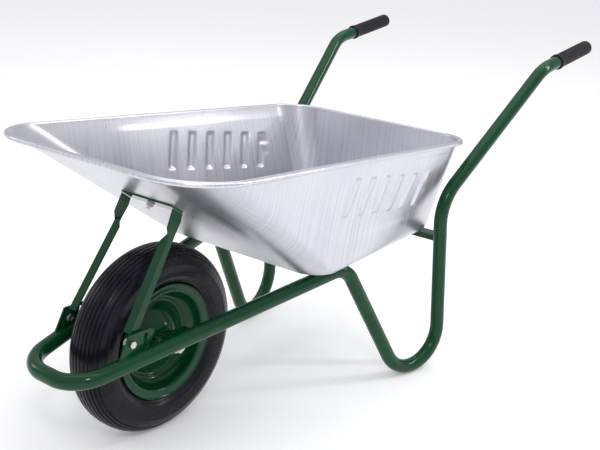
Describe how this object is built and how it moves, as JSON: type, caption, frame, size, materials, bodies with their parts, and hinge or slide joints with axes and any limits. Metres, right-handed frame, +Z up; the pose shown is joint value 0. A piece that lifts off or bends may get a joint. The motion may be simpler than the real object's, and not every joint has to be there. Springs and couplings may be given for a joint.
{
  "type": "wheelbarrow",
  "caption": "Single-wheel garden wheelbarrow: galvanised tray on a one-piece bent tube frame with legs, handles, grips and a pneumatic front wheel.",
  "frame": {"origin": "on the ground, in the middle of the length and width", "axes": "+Y from the wheel to the handles, +X to the user's left, +Z up"},
  "size_m": [0.6798, 1.5076, 0.747],
  "materials": {
    "green_paint": "glossy dark green powder coat",
    "galvanised_sheet": "semi-bright galvanised sheet with faint drawn streaks",
    "zinc_plated": "bright zinc plating",
    "bearing_steel": "bright steel",
    "tyre_rubber": "satin bluish black",
    "grip_rubber": "satin charcoal",
    "black_plastic": "satin black"
  },
  "bodies": {
    "frame": {"frame_tube": "green_paint", "left_grip": "grip_rubber", "right_grip": "grip_rubber", "tray": "galvanised_sheet", "left_strut": "green_paint", "right_strut": "green_paint", "strut_clamp_plate": "green_paint", "front_tray_bolt": "zinc_plated", "front_tray_washer": "zinc_plated", "front_tray_nut": "zinc_plated", "left_strut_bracket": "green_paint", "right_strut_bracket": "green_paint", "left_strut_bolt": "zinc_plated", "right_strut_bolt": "zinc_plated", "left_strut_nut": "zinc_plated", "right_strut_nut": "zinc_plated", "left_axle_bracket": "green_paint", "right_axle_bracket": "green_paint", "left_bracket_bolt": "zinc_plated", "right_bracket_bolt": "zinc_plated", "left_bracket_nut": "zinc_plated", "right_bracket_nut": "zinc_plated", "rear_cross_member": "green_paint", "left_rear_tray_bolt": "zinc_plated", "right_rear_tray_bolt": "zinc_plated", "left_rear_tray_washer": "zinc_plated", "right_rear_tray_washer": "zinc_plated", "left_rear_tray_nut": "zinc_plated", "right_rear_tray_nut": "zinc_plated", "left_bearing_inner_race": "bearing_steel", "right_bearing_inner_race": "bearing_steel", "axle": "zinc_plated", "left_axle_spacer": "zinc_plated", "right_axle_spacer": "zinc_plated", "left_axle_washer": "zinc_plated", "right_axle_washer": "zinc_plated", "left_axle_nut": "zinc_plated", "right_axle_nut": "zinc_plated"},
    "wheel": {"tyre": "tyre_rubber", "inner_tube": "tyre_rubber", "left_rim_half": "green_paint", "right_rim_half": "green_paint", "hub_tube": "green_paint", "valve_stem": "tyre_rubber", "valve_cap": "black_plastic", "left_bearing_outer_race": "bearing_steel", "right_bearing_outer_race": "bearing_steel", "left_bearing_balls": "bearing_steel", "right_bearing_balls": "bearing_steel"}
  },
  "joints": [
    {"name": "wheel_spin", "type": "hinge", "parent": "frame", "child": "wheel", "pos_m": [0, -0.4762, 0.197], "axis": [1, 0, 0], "continuous": true}
  ]
}
